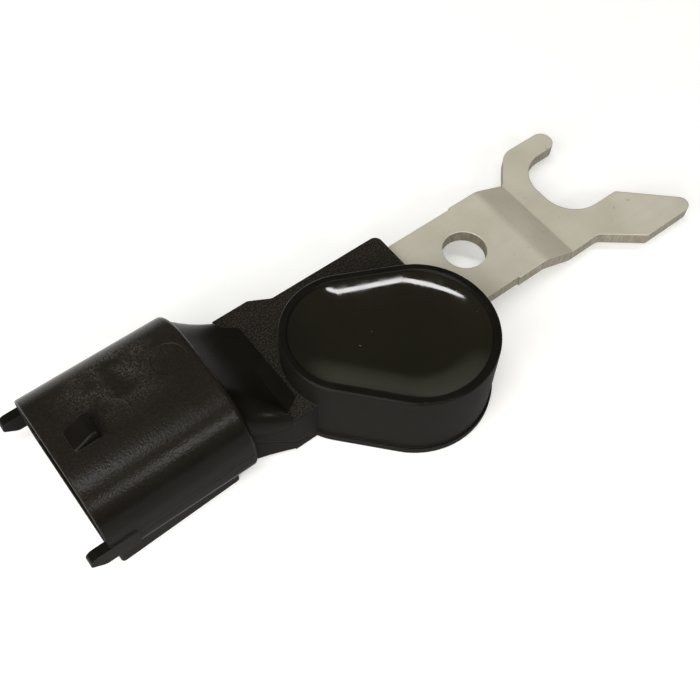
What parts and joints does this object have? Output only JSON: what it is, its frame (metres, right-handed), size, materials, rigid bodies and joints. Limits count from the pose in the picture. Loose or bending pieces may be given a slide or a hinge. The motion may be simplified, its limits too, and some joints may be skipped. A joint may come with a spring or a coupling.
{
  "type": "engine speed sensor",
  "caption": "Black moulded speed sensor: resin-filled pot and oval plug socket overmoulded on a flat joggled steel bracket with a bolt hole and an open fork.",
  "frame": {"origin": "middle of the bolt hole on the bracket's upper face", "axes": "+X along the arm from the plug socket to the fork, +Y across the arm to the short prong's side, +Z out of the bracket's upper face, the side of the potting resin"},
  "size_m": [0.1032, 0.0371, 0.0159],
  "materials": {
    "moulded_nylon": "satin",
    "stamped_steel": "satin",
    "resin": "gloss",
    "board_laminate": "satin",
    "contact_metal": "satin",
    "lead_metal": "satin",
    "chip_epoxy": "matte",
    "magnet_alloy": "satin",
    "capacitor_body": "matte",
    "resistor_body": "matte",
    "solder": "satin"
  },
  "bodies": {
    "root": {"housing": "moulded_nylon", "bracket": "stamped_steel", "potting_resin": "resin", "circuit_board": "board_laminate", "terminal_1": "contact_metal", "terminal_2": "contact_metal", "terminal_3": "contact_metal", "hall_sensor": "chip_epoxy", "sensor_lead_1": "lead_metal", "sensor_lead_2": "lead_metal", "sensor_lead_3": "lead_metal", "magnet": "magnet_alloy", "capacitor_1": "capacitor_body", "capacitor_2": "capacitor_body", "resistor": "resistor_body", "terminal_solder_1": "solder", "terminal_solder_2": "solder", "terminal_solder_3": "solder", "lead_solder_1": "solder", "lead_solder_2": "solder", "lead_solder_3": "solder", "capacitor_1_solder_left": "solder", "capacitor_1_solder_right": "solder", "capacitor_2_solder_left": "solder", "capacitor_2_solder_right": "solder", "resistor_solder_left": "solder", "resistor_solder_right": "solder"}
  },
  "joints": []
}
